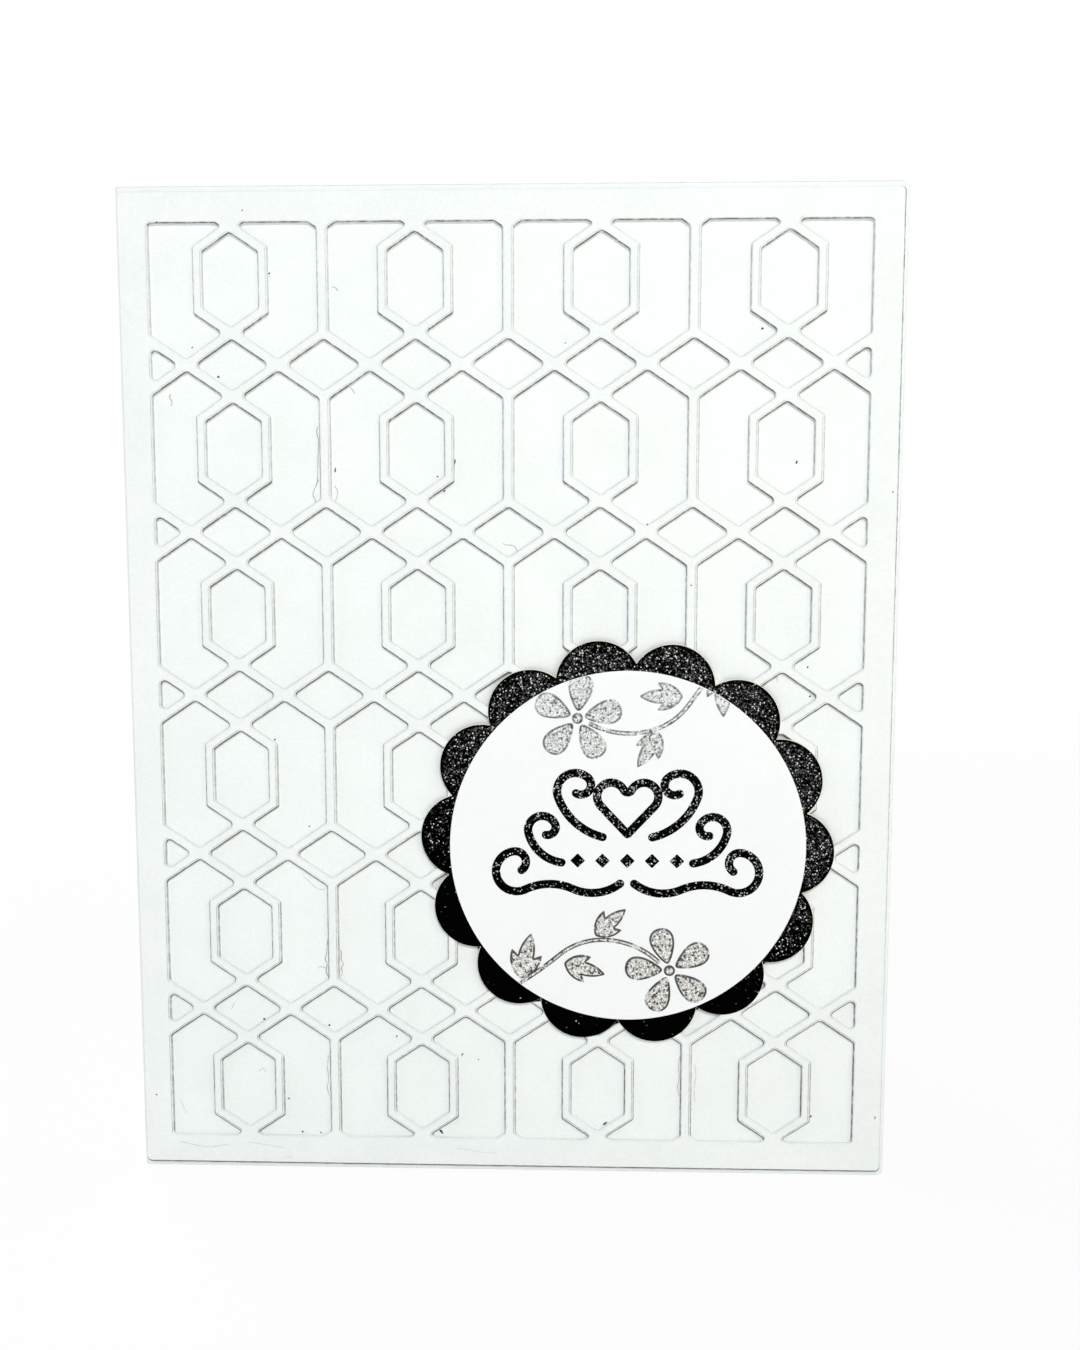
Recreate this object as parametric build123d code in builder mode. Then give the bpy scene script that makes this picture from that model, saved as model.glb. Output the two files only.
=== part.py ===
from build123d import *
from math import cos, radians, sin, tan
import os

# A handmade greeting card, standing open on the lower edges of its two leaves.
# All sizes are in millimetres, +Z is up, and the front of the card faces -Y.
# The origin is on the surface that the card stands on, below the middle of its box.

# Folded card base: one sheet of heavy white card, folded once down its left side
leaf_width = 107.95
leaf_height = 139.7
sheet = 0.4
fold_inner_radius = 0.35
opening_angle = 45.0
leaf_corner_radius = 0.8

# Die-cut lattice panel, glued to the front leaf with a narrow even border of card around it
panel_width = 106.9
panel_height = 138.1
panel_thickness = 0.6
panel_corner_radius = 0.7
frame_border = 4.2

# The lattice: strips that ring each long hexagon, cross between them and meet upright bars
columns = 4
rows = 6
column_width = 25.4
row_height = 22.9
strip_width = 1.45
bar_width = 1.65
ring_half_width = 4.5
diagonal_angle = 34.0

# Scalloped circle of black glitter card, low on the right of the panel
scallops = 14
scallop_radius = 6.0
scallop_ring_radius = 23.2
scallop_turn = -2.6
scalloped_thickness = 0.4
scalloped_across = 16.65
scalloped_up = -20.95

# Round white disc that lies on the scalloped circle, a little below its middle
disc_radius = 25.1
disc_thickness = 0.4
disc_across = 16.7
disc_up = -21.35

# Raised black ornament in the middle of the disc: a heart, a row of diamonds and curls
ornament_height = 0.15
stroke_width = 1.2
heart_lobe_radius = 2.6
heart_lobe_across = 2.3
heart_drop = 5.8
heart_up = 7.3
small_diamond_radius = 1.05
small_diamond_pitch = 3.5
small_diamonds = 5
small_diamonds_up = -1.9
# Each curl of the right half: its start, the angle it sets off at, and its arcs as (radius, turn)
curls = [
    ((3.5, 1.5), 14, [(9.0, 56), (2.6, 150), (1.4, 170)]),
    ((9.3, -2.2), 8, [(5.6, 68), (2.0, 165), (1.15, 130)]),
    ((1.0, -5.2), -38, [(6.5, 62), (8.0, -50), (2.9, 200), (1.5, 150)]),
]

# Raised silver flower sprigs above and below the ornament
sprig_height = 0.1
petals = 5
petal_length = 5.3
petal_width = 3.5
petal_root = 1.05
petal_root_width = 0.5
petal_turn = 32.3
flower_middle_radius = 0.8
stem_width = 0.65
stem_start = (-1.6, 1.3)
stem_heading = 137
stem_turns = [(11.6, 43), (9.5, 40), (60.0, -7)]
# Each leaf: its root, the angle of its middle lobe and the length of that lobe
leaves = [((-10.6, 5.0), 42.0, 5.9), ((-15.0, 1.0), -16.0, 6.1), ((-21.2, -1.4), 77.0, 6.9)]
side_lobe_share = 0.66
side_lobe_angle = 29.0
lobe_bulge_share = 0.17
lower_flower = (6.1, -17.8)
upper_flower = (-7.1, 18.4)
upper_sprig_turn = 195.7

# Places that follow from the sizes above
angle = radians(opening_angle)
fold_radius = fold_inner_radius + sheet
leaf_run = leaf_width - fold_radius
fold_reach = fold_radius / tan(angle / 2)
open_depth = fold_radius * (1 + cos(angle)) + leaf_run * sin(angle)
front_stack = panel_thickness + scalloped_thickness + disc_thickness + max(ornament_height, sprig_height)
front_y = (front_stack - open_depth) / 2


def front_plane(depth, across=0.0, up=0.0):
    """A plane parallel to the front leaf, depth in front of it, with its Y axis up."""
    return Plane(
        origin=(across, front_y - depth, leaf_height / 2 + up),
        x_dir=(1, 0, 0),
        z_dir=(0, -1, 0),
    )


# The outer face of the sheet runs from the back leaf's free edge round the fold to the front
fold_corner = Vector(fold_radius - leaf_width / 2 - fold_reach, front_y)
front_end = Vector(leaf_width / 2, front_y)
back_direction = Vector(cos(angle), sin(angle))
back_end = fold_corner + back_direction * (fold_reach + leaf_run)

with BuildPart() as card_base:
    with BuildLine():
        FilletPolyline(back_end, fold_corner, front_end, radius=fold_radius)
    make_brake_formed(thickness=sheet, station_widths=leaf_height, side=Side.LEFT)
    back_normal = Axis((0, 0, 0), (-sin(angle), cos(angle), 0))
    free_corners = card_base.edges().filter_by(Axis.Y) + card_base.edges().filter_by(back_normal)
    fillet(free_corners, radius=leaf_corner_radius)
card_base.part.label = "card_base"

# Lines of the lattice, measured from the middle of a hexagon
slope = tan(radians(diagonal_angle))
climb = slope * column_width / 4
crossing_up = row_height / 2 - climb
half_strip = strip_width / 2 / cos(radians(diagonal_angle))
tip_across = half_strip / slope
ring_inside = ring_half_width - strip_width / 2
ring_outside = ring_half_width + strip_width / 2
hexagon_top = crossing_up - half_strip
hexagon_shoulder = hexagon_top - slope * ring_inside
ring_shoulder = crossing_up + half_strip - slope * ring_outside
peak_across = column_width / 4
peak_up = row_height / 2 - half_strip
side_across = (column_width - bar_width) / 2
side_shoulder = peak_up - slope * (side_across - peak_across)
diamond_half_width = peak_across - tip_across
diamond_half_height = climb - half_strip

hexagon = [
    (0, hexagon_top),
    (-ring_inside, hexagon_shoulder),
    (-ring_inside, -hexagon_shoulder),
    (0, -hexagon_top),
    (ring_inside, -hexagon_shoulder),
    (ring_inside, hexagon_shoulder),
]
right_hook = [
    (tip_across, crossing_up),
    (ring_outside, ring_shoulder),
    (ring_outside, -ring_shoulder),
    (tip_across, -crossing_up),
    (peak_across, -peak_up),
    (side_across, -side_shoulder),
    (side_across, side_shoulder),
    (peak_across, peak_up),
]
left_hook = [(-across, up) for across, up in right_hook]
diamond = [
    (-diamond_half_width, 0),
    (0, -diamond_half_height),
    (diamond_half_width, 0),
    (0, diamond_half_height),
]

with BuildSketch() as windows:
    with GridLocations(column_width, row_height, columns, rows):
        Polygon(*hexagon, align=None)
        Polygon(*right_hook, align=None)
        Polygon(*left_hook, align=None)
    with GridLocations(column_width / 2, row_height, 2 * columns + 1, rows - 1):
        Polygon(*diamond, align=None)
    Rectangle(panel_width - 2 * frame_border, panel_height - 2 * frame_border, mode=Mode.INTERSECT)

with BuildPart() as lattice_panel:
    with BuildSketch(front_plane(0)):
        RectangleRounded(panel_width, panel_height, panel_corner_radius)
        add(windows.sketch, mode=Mode.SUBTRACT)
    extrude(amount=panel_thickness)
lattice_panel.part.label = "lattice_panel"

with BuildPart() as scalloped_circle:
    with BuildSketch(front_plane(panel_thickness, scalloped_across, scalloped_up)):
        Circle(scallop_ring_radius)
        with PolarLocations(scallop_ring_radius, scallops, start_angle=scallop_turn):
            Circle(scallop_radius)
    extrude(amount=scalloped_thickness)
scalloped_circle.part.label = "scalloped_circle"

disc_back = panel_thickness + scalloped_thickness
with BuildPart() as round_disc:
    with BuildSketch(front_plane(disc_back, disc_across, disc_up)):
        Circle(disc_radius)
    extrude(amount=disc_thickness)
round_disc.part.label = "round_disc"
disc_front = front_plane(disc_back + disc_thickness, disc_across, disc_up)


def curl(start, heading, turns):
    """A line of tangent arcs: it sets off at a heading and takes each (radius, angle) in turn."""
    direction = Vector(1, 0).rotate(Axis.Z, heading)
    with BuildLine() as line:
        for radius, sweep in turns:
            arc = JernArc(start=start, tangent=direction, radius=radius, arc_size=sweep)
            start = arc @ 1
            direction = arc % 1
    return line.wires()[0]


# Half a heart is a teardrop from the bottom point to one lobe, and its mirror image completes it
with BuildSketch() as heart_half:
    with Locations((heart_lobe_across, 0)):
        Circle(heart_lobe_radius)
    with Locations((0, -heart_drop)):
        Circle(stroke_width / 4)
    make_hull()

with BuildSketch() as heart:
    add(heart_half.sketch)
    mirror(about=Plane.YZ)
    offset(amount=-stroke_width, mode=Mode.SUBTRACT)

with BuildPart() as black_ornament:
    with BuildSketch(disc_front):
        for start, heading, turns in curls:
            SlotArc(curl(start, heading, turns), stroke_width)
        mirror(about=Plane.YZ)
        with Locations((0, heart_up)):
            add(heart.sketch)
        with Locations((0, small_diamonds_up)):
            with GridLocations(small_diamond_pitch, 0, small_diamonds, 1):
                RegularPolygon(radius=small_diamond_radius, side_count=4)
    extrude(amount=ornament_height)
black_ornament.part.label = "black_ornament"


def lobe(length):
    """A pointed oval that runs from the origin along X."""
    with BuildSketch() as oval:
        with BuildLine():
            SagittaArc((0, 0), (length, 0), lobe_bulge_share * length)
            SagittaArc((length, 0), (0, 0), lobe_bulge_share * length)
        make_face()
    return oval.sketch


# A sprig is drawn round the middle of its flower: petals, the stem to its left, and its leaves
with BuildSketch() as petal:
    with Locations((petal_root, 0)):
        Rectangle(petal_root_width, petal_root_width, align=(Align.MIN, Align.CENTER))
    with Locations((petal_root + petal_length - petal_width / 2, 0)):
        Circle(petal_width / 2)
    make_hull()

with BuildSketch() as sprig:
    Circle(flower_middle_radius)
    with PolarLocations(0, petals, start_angle=petal_turn):
        add(petal.sketch)
    SlotArc(curl(stem_start, stem_heading, stem_turns), stem_width)
    for root, heading, length in leaves:
        for turn, share in ((0, 1), (side_lobe_angle, side_lobe_share), (-side_lobe_angle, side_lobe_share)):
            with Locations(Location(root, heading + turn)):
                add(lobe(share * length))

with BuildPart() as flower_sprigs:
    with BuildSketch(disc_front):
        with Locations(Location(lower_flower), Location(upper_flower, upper_sprig_turn)):
            add(sprig.sketch)
        Circle(disc_radius, mode=Mode.INTERSECT)
    extrude(amount=sprig_height)
flower_sprigs.part.label = "flower_sprigs"

os.makedirs("parts", exist_ok=True)
for piece in (card_base, lattice_panel, scalloped_circle, round_disc, black_ornament, flower_sprigs):
    export_step(piece.part, f"parts/{piece.part.label}.step")
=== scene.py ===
# %% [markdown]
# # Dressing a handmade greeting card
# The packed solids already have the card's real sizes and places, with every face flat and every
# edge sharp. Real card has softer edges: a cutting die presses a small rim round every window,
# glitter stands on the paper in grains, and a raised print is domed. These cells rebuild the layers
# as numpy surfaces over the solids and give each one its finish.

import math

import bpy
import numpy as np
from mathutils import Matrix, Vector, geometry


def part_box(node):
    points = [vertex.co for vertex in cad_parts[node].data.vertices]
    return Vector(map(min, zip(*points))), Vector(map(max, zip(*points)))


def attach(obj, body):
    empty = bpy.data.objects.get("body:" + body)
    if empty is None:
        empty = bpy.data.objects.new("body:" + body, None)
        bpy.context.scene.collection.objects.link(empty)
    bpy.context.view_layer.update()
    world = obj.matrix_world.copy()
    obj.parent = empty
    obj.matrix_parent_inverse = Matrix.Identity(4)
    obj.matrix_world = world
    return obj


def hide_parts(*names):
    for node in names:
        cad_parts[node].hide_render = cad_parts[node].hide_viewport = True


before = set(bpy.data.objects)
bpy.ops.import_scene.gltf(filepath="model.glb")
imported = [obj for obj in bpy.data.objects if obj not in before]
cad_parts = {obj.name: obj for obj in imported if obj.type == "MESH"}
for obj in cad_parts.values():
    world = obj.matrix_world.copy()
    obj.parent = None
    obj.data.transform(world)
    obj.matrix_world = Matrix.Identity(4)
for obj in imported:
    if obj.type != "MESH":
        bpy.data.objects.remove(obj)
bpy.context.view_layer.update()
MM = 0.001
for node in sorted(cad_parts):
    low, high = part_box(node)
    print(node, "size in mm", [round(side / MM, 2) for side in high - low])

# %% [markdown]
# ## Where the layers lie
# The front leaf is upright and faces -Y, so every layer is drawn on it with two numbers: across (X)
# and up (Z), in millimetres from the middle of the lattice panel. A third number, the height above
# the leaf, points towards the viewer. All three become metres in one helper.

# %% From millimetres on the card to metres in the scene
panel_low, panel_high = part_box("lattice_panel")
LEAF_FACE = panel_high.y
PANEL_UP = (panel_low.z + panel_high.z) / 2
PANEL_SIZE = np.array([panel_high.x - panel_low.x, panel_high.z - panel_low.z]) / MM


def to_scene(flat, height):
    """Places flat points at their heights: x and z follow the panel, and y is the leaf's face minus
    the height. All are turned into metres and listed in one long row."""
    placed = np.empty((*flat.shape[:-1], 3))
    placed[..., 0] = flat[..., 0] * MM
    placed[..., 1] = LEAF_FACE - height * MM
    placed[..., 2] = PANEL_UP + flat[..., 1] * MM
    return placed.reshape(-1, 3)


def layer_of(node):
    """Middle (across, up) and the heights of a packed layer's back and front, in mm."""
    low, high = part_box(node)
    middle = np.array([(low.x + high.x) / 2, (low.z + high.z) / 2 - PANEL_UP]) / MM
    return middle, (LEAF_FACE - high.y) / MM, (LEAF_FACE - low.y) / MM


_, PANEL_BACK, PANEL_FRONT = layer_of("lattice_panel")
_, SCALLOP_BACK, SCALLOP_FRONT = layer_of("scalloped_circle")
DISC_MIDDLE, DISC_BACK, DISC_FRONT = layer_of("round_disc")
# The ring of scallops is turned a little, so its own middle isn't the middle of its box.
SCALLOP_MIDDLE = np.array([16.65, -20.95])
print("panel", PANEL_SIZE, "disc", DISC_MIDDLE, DISC_BACK, DISC_FRONT)

# %% [markdown]
# ## The camera
# The photograph looks slightly down on the card from a hand's length away. The place and the lens
# come from the perspective of the card's eight visible corners. There is no shift and no blur.

# %% Camera
CAMERA_PLACE = (0.010434, -0.226488, 0.093012)
CAMERA_TURN = (83.897, 0.0, 1.854)
LENS = 36.03
SENSOR_WIDTH = 36.0
NEAREST = 0.01


def put_in_scene(name, data):
    """An object that holds a camera, a lamp or a mesh, linked to the scene."""
    holder = bpy.data.objects.new(name, data)
    bpy.context.scene.collection.objects.link(holder)
    return holder


camera = put_in_scene("camera", bpy.data.cameras.new("camera"))
camera.location = CAMERA_PLACE
camera.rotation_euler = [math.radians(turn) for turn in CAMERA_TURN]
camera.data.lens = LENS
camera.data.sensor_width = SENSOR_WIDTH
camera.data.clip_start = NEAREST
bpy.context.scene.camera = camera
print("camera", CAMERA_PLACE, "lens", LENS)

# %% [markdown]
# ## Lamps
# Relief this shallow needs light with a direction. One small soft lamp above and in front throws a
# shadow of a third of a millimetre under each upper edge and a hair-fine one beside the upright
# strips. A dim lamp on each side adds a tint, greenish on the right and bluish on the left, and one
# more lights the back leaf. The world, further on, lights everything evenly.

# %% Lamps
CARD_MIDDLE = Vector((0.0, LEAF_FACE, PANEL_UP))


def soft_lamp(name, place, side, power, colour):
    """A square area lamp at place, whose -Z axis points at the card's middle. Place and side are in
    metres and the power is in watts."""
    lamp = bpy.data.lights.new(name, "AREA")
    lamp.size = side
    lamp.energy = power
    lamp.color = colour
    away = Vector(place) - CARD_MIDDLE
    holder = put_in_scene(name, lamp)
    holder.location = place
    holder.rotation_euler = away.to_track_quat("Z", "Y").to_euler()
    print(name, round(away.length, 2), "m away")


# Each lamp: name, place, side, power and colour
soft_lamp("key_lamp", (0.07, -0.62, 0.40), 0.09, 2.10, (0.945, 0.98, 1.0))
soft_lamp("right_lamp", (0.30, -0.30, 0.14), 0.12, 0.17, (1.0, 1.0, 0.62))
soft_lamp("left_lamp", (-0.36, -0.20, 0.14), 0.16, 0.10, (0.80, 0.94, 1.0))
soft_lamp("back_lamp", (-0.42, 0.48, 0.36), 0.30, 1.9, (0.97, 1.0, 1.0))

# %% [markdown]
# ## Shader sums as Python sums
# A finish is easier to read as an expression than as a wiring diagram. `Wire` stands for one output
# of a shader node. Adding, multiplying or comparing wires adds the Math nodes, and `|` takes the
# larger one. `Shading` makes any other node with one method. `Finish` is the shading of a material
# and joins the result to its surface.

# %% Wires


class Wire:
    """One number that changes over a surface. Sums on it add Math nodes to its shading."""

    def __init__(self, shading, socket):
        self.shading = shading
        self.socket = socket

    def sum(self, operation, first, second, clamp=False):
        settings = {"operation": operation, "use_clamp": clamp}
        return self.shading.node("ShaderNodeMath", settings, {0: first, 1: second})

    def __add__(self, other):
        return self.sum("ADD", self, other)

    __radd__ = __add__

    def __sub__(self, other):
        return self.sum("SUBTRACT", self, other)

    def __rsub__(self, other):
        return self.sum("SUBTRACT", other, self)

    def __mul__(self, other):
        return self.sum("MULTIPLY", self, other)

    __rmul__ = __mul__

    def __truediv__(self, other):
        return self.sum("DIVIDE", self, other)

    def __gt__(self, other):
        return self.sum("GREATER_THAN", self, other)

    def __pow__(self, other):
        return self.sum("POWER", self, other)

    def __or__(self, other):
        return self.sum("MAXIMUM", self, other)

    def ramp(self, low, high):
        """0 below low, 1 above high and straight between them."""
        return self.sum("DIVIDE", self - low, high - low, clamp=True)


print("wires can be added, subtracted, multiplied, divided, compared, raised and ramped")

# %% Shadings and finishes


class Shading:
    """The nodes of a material or of the world, all made by one method."""

    def __init__(self, owner, kind):
        owner.use_nodes = True
        self.nodes = owner.node_tree.nodes
        self.links = owner.node_tree.links
        self.nodes.clear()
        self.output = self.nodes.new(kind)

    def plug(self, socket, value):
        if isinstance(value, Wire):
            self.links.new(value.socket, socket)
        else:
            socket.default_value = value

    def node(self, kind, settings=None, sockets=None, output=0):
        """Makes a node: its settings first, then the values or wires of its sockets."""
        made = self.nodes.new(kind)
        for name, value in (settings or {}).items():
            setattr(made, name, value)
        for name, value in (sockets or {}).items():
            self.plug(made.inputs[name], value)
        return Wire(self, made.outputs[output])


class Finish(Shading):
    """A material built from wires, ending in one Principled surface."""

    def __init__(self, name):
        self.material = bpy.data.materials.new(name)
        super().__init__(self.material, "ShaderNodeOutputMaterial")
        self.surface = self.nodes.new("ShaderNodeBsdfPrincipled")
        self.shader = Wire(self, self.surface.outputs[0])
        self.plug(self.output.inputs["Surface"], self.shader)

    def place(self):
        """Where a point lies on its piece, in metres."""
        return self.node("ShaderNodeTexCoord", output="Object")

    def part_of(self, wire, axis):
        """The X, Y or Z part of a vector wire."""
        return self.node("ShaderNodeSeparateXYZ", None, {"Vector": wire}, axis)

    def noise(self, size, detail=2.0, roughness=0.5):
        """Cloudy noise whose lumps measure about size millimetres, around 0.5."""
        sockets = {"Vector": self.place(), "Scale": 1 / (size * MM)}
        sockets |= {"Detail": detail, "Roughness": roughness}
        return self.node("ShaderNodeTexNoise", None, sockets, "Fac")

    def attribute(self, name):
        """A value stored on the piece's own vertices."""
        return self.node("ShaderNodeAttribute", {"attribute_name": name}, None, "Fac")

    def blend(self, mask, first, second):
        """The first colour where the mask is 0 and the second where it is 1. A Mix node keeps its
        colours in sockets 6 and 7 and gives the mixed one at output 2."""
        sockets = {0: mask, 6: first, 7: second}
        return self.node("ShaderNodeMix", {"data_type": "RGBA"}, sockets, 2)

    def bump(self, height, depth, normal=None):
        """Relief of depth millimetres where the height goes from 0 to 1."""
        sockets = {"Strength": 1.0, "Distance": depth * MM, "Height": height}
        if normal is not None:
            sockets["Normal"] = normal
        return self.node("ShaderNodeBump", None, sockets)

    def finish(self, **sockets):
        """Sets the surface's sockets, named with underscores, and returns the material."""
        for name, value in sockets.items():
            self.plug(self.surface.inputs[name.replace("_", " ")], value)
        return self.material


print("a finish offers", [name for name in vars(Finish) if not name.startswith("_")])

# %% [markdown]
# ## White card
# The card is smooth but not plastic: it has a fine tooth of about a third of a millimetre, a faint
# cloudiness where the fibres bunch, and no gloss. Cut edges show the fibres, so they are a little
# greyer. Tooth is a bump and cloudiness is colour, because neither can be seen in the outline.

# %% White card finish
DIRT = (0.012, 0.011, 0.011, 1)
CLOUD_SIZE, FIBRE_SIZE, GRAIN_SIZE, BREAK_SIZE = 9.0, 0.42, 0.35, 0.9
TOOTH_SIZE, TOOTH_DEPTH = 0.30, 0.035
WAVE_SIZE, WAVE_DEPTH = 14.0, 0.16


def white_card(name, light, shade, edge, crease):
    """Near-white card. Light and shade are the two colours that its clouds drift between, a third
    of the way by large clouds and the rest by fibres. The edge colour shows in grains where the cut
    value is 1. The last colour, in uneven strength, darkens cut lines, creases and fibres, mostly
    as painted shade."""
    card = Finish(name)
    clouds = card.noise(CLOUD_SIZE, 3.0).ramp(0.35, 0.65)
    fibres = card.noise(FIBRE_SIZE, 2.0, 0.7).ramp(0.3, 0.7)
    colour = card.blend(clouds * 0.35 + fibres * 0.65, light, shade)
    grains = card.noise(GRAIN_SIZE, 3.0, 0.7).ramp(0.38, 0.62)
    colour = card.blend(card.attribute("cut") * (0.35 + 0.65 * grains), colour, edge)
    uneven = card.noise(BREAK_SIZE, 3.0, 0.7).ramp(0.38, 0.58)
    # Lines, creases and fibres, darkened mostly as painted shade
    colour = card.blend(card.attribute("crease") * (0.55 + 0.45 * uneven), colour, crease)
    colour = card.blend(card.attribute("dirt"), colour, DIRT)
    tooth = card.noise(TOOTH_SIZE, 3.0, 0.65)
    relief = card.bump(tooth, TOOTH_DEPTH)
    relief = card.bump(card.noise(WAVE_SIZE, 1.0), WAVE_DEPTH, relief)
    return card.finish(Base_Color=colour, Roughness=0.72 + 0.1 * tooth, Normal=relief)


BASE_LIGHT = (0.900, 0.925, 0.917, 1)
BASE_SHADE = (0.830, 0.851, 0.845, 1)
LEAF_EDGE = (0.66, 0.63, 0.68, 1)
# Grey of the leaf's top edge line and of the fibres, where it paints their shadows
LEAF_LINE_AND_SHADE = (0.36, 0.34, 0.36, 1)
base_card = white_card("base_card_white", BASE_LIGHT, BASE_SHADE, LEAF_EDGE, LEAF_LINE_AND_SHADE)
PANEL_LIGHT = (0.880, 0.900, 0.897, 1)
PANEL_SHADE = (0.810, 0.833, 0.833, 1)
CUT_EDGE = (0.88, 0.875, 0.865, 1)
# Near-black of the panel's cut lines, most of whose strength is painted shade
PANEL_LINE_AND_SHADE = (0.12, 0.115, 0.11, 1)
panel_card = white_card("panel_card_white", PANEL_LIGHT, PANEL_SHADE, CUT_EDGE, PANEL_LINE_AND_SHADE)
DISC_LIGHT = (0.90, 0.905, 0.91, 1)
DISC_SHADE = (0.87, 0.875, 0.885, 1)
DISC_EDGE = (0.62, 0.62, 0.60, 1)
disc_card = white_card("disc_card_white", DISC_LIGHT, DISC_SHADE, DISC_EDGE, DISC_LIGHT)
print("three whites:", base_card.name, panel_card.name, disc_card.name)

# %% [markdown]
# ## Outlines with directions
# A die-cut sheet is described by its outlines. Each is a closed row of points, and each point also
# has the direction that leads straight out of the outline. A rim is then the same row of points,
# moved along those directions, so round corners stay round and straight edges stay parallel.

# %% Rounded outlines
LONGEST_REACH = 0.42


def rounded_outline(corners, radius, steps=5):
    """Rounds a polygon that runs anticlockwise. At each corner the edge turns by an angle. The arc
    touches both edges, so it starts radius times the tangent of half the turn before the corner,
    but within a share of the shorter edge, the longest reach. Its points are its centre plus or
    minus the turned normal times the radius."""
    ahead = np.roll(corners, -1, 0) - corners
    length = np.linalg.norm(ahead, axis=1)
    ahead = ahead / length[:, None]
    behind = np.roll(ahead, 1, 0)
    swing = behind[:, 0] * ahead[:, 1] - behind[:, 1] * ahead[:, 0]
    turn = np.arctan2(swing, (behind * ahead).sum(1))
    half_turn = np.tan(np.abs(turn) / 2)
    shorter = np.minimum(length, np.roll(length, 1))
    reach = np.minimum(radius * half_turn, LONGEST_REACH * shorter)
    bend = reach / np.maximum(half_turn, 1e-9) * np.sign(turn)
    inward = np.stack([-behind[:, 1], behind[:, 0]], 1)
    centre = corners - behind * reach[:, None] + inward * bend[:, None]
    angle = turn[:, None] * np.linspace(0, 1, steps)[None, :]
    cos, sin, right, up = np.cos(angle), np.sin(angle), inward[:, :1], inward[:, 1:]
    outward = -np.stack([cos * right - sin * up, sin * right + cos * up], 2)
    points = centre[:, None, :] + outward * bend[:, None, None]
    return points.reshape(-1, 2), outward.reshape(-1, 2)


def spaced(points, outward, spacing):
    """Adds points along the straight stretches, so that none is longer than the spacing: a new
    point and its direction are the two ends' average, weighted by its share of the way."""
    step = np.linalg.norm(np.roll(points, -1, 0) - points, axis=1)
    parts = np.maximum(np.ceil(step / spacing).astype(int), 1)
    parts[step < 1e-6] = 0
    start = np.repeat(np.arange(len(points)), parts)
    first = np.repeat(np.cumsum(parts) - parts, parts)
    share = ((np.arange(parts.sum()) - first) / parts[start])[:, None]
    both = np.concatenate([points, outward], 1)
    both = both[start] * (1 - share) + both[(start + 1) % len(points)] * share
    return both[:, :2], both[:, 2:] / np.linalg.norm(both[:, 2:], axis=1)[:, None]


def clipped(corners, half_size):
    """Keeps the part of a polygon inside a centred rectangle, one side of it after another."""
    for axis, limit in enumerate(half_size):
        for sign in (1, -1):
            kept = []
            for here, after in zip(corners, np.roll(corners, -1, 0)):
                gap_here = limit - sign * here[axis]
                gap_after = limit - sign * after[axis]
                if gap_here >= 0:
                    kept.append(here)
                if gap_here * gap_after < 0:
                    kept.append(here + (after - here) * gap_here / (gap_here - gap_after))
            corners = np.array(kept)
    return corners


SQUARE = np.array([(-1, -1), (1, -1), (1, 1), (-1, 1)])
print("a rounded square has", len(rounded_outline(SQUARE, 0.2)[0]), "points")

# %% [markdown]
# ## Raised strokes
# The black ornament is a domed line, and so is a stray paper fibre. Such a surface has two
# parameters: one runs along the middle line and the other across the stroke. Across, the height
# follows half an ellipse; along, the half width shrinks as a quarter circle at both ends, which
# rounds the tips.

# %% Strokes along a line
CAP_STEPS = 6


def ray(angle):
    """A step of length 1 at an angle: its cosine across and its sine up."""
    return np.stack([np.cos(angle), np.sin(angle)], -1)


def right_of(heading):
    """A step of length 1 to the right of a heading: its sine across and minus its cosine up."""
    return np.stack([np.sin(heading), -np.cos(heading)], -1)


def path_length(points):
    """The distance walked along a row of points, for each of them."""
    return np.concatenate([[0], np.cumsum(np.linalg.norm(np.diff(points, axis=0), axis=1))])


def tangent_arcs(start, heading, turns, step=0.12):
    """Points and headings along arcs that touch: each arc's middle lies to the left or right of the
    heading at its radius, and the heading turns evenly along it."""
    points = [np.array([start], float)]
    headings = [np.array([math.radians(heading)])]
    for radius, turn in turns:
        turn = math.radians(turn)
        begin = headings[-1][-1]
        count = max(int(abs(turn) * radius / step), 4)
        row = begin + turn * np.arange(1, count + 1) / count
        swing = right_of(row) - right_of(begin)
        points.append(points[-1][-1] + math.copysign(radius, turn) * swing)
        headings.append(row)
    return np.concatenate(points), np.concatenate(headings)


def raised_stroke(points, headings, width, height, base, across=11):
    """Surface of a domed stroke: middle line plus normal times half width times a, with height
    times the square root of 1 - a squared, for a from -1 to 1 across. Both ends get a cap, whose
    half width is that of a half circle. The last result is each point's depth in the outline."""
    half = width / 2
    reach = half * np.cos(np.linspace(0, math.pi / 2, CAP_STEPS + 1))[:-1]
    cap_width = np.sqrt(np.maximum(half**2 - reach**2, 1e-6))
    head = points[0] - ray(headings[0]) * reach[:, None]
    tail = points[-1] + ray(headings[-1]) * reach[::-1, None]
    half_width = np.concatenate([cap_width, np.full(len(points), half), cap_width[::-1]])
    points = np.concatenate([head, points, tail])
    normal = -right_of(np.pad(headings, CAP_STEPS, "edge"))
    share = np.sin(np.linspace(-math.pi / 2, math.pi / 2, across))
    flat = points[:, None, :] + normal[:, None, :] * (half_width[:, None] * share)[:, :, None]
    dome = np.sqrt(np.maximum(1 - share**2, 0))[None, :] * (half_width / half)[:, None]
    depth = (1 - np.abs(share))[None, :] * half_width[:, None]
    here = np.arange(len(points) - 1)[:, None] * across + np.arange(across - 1)
    after = here + across
    quads = np.stack([here + 1, after + 1, after, here], 2).reshape(-1, 4)
    return to_scene(flat, base + height * dome), quads, depth.ravel()


quarter_turn, _ = tangent_arcs((0, 0), 0, [(1.0, 90)])
print("a quarter turn of radius 1 is", round(path_length(quarter_turn)[-1], 3), "long")

# %% [markdown]
# ## One sheet from its outlines
# Every die-cut layer is made the same way. Rings of points follow each outline: up the cut wall,
# over a small rounded shoulder and onto the flat face. The face and the back are filled between all
# the last rings at once, on vertices of their own, so both stay flat up to the shoulder.

# %% Faces and pieces


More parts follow.
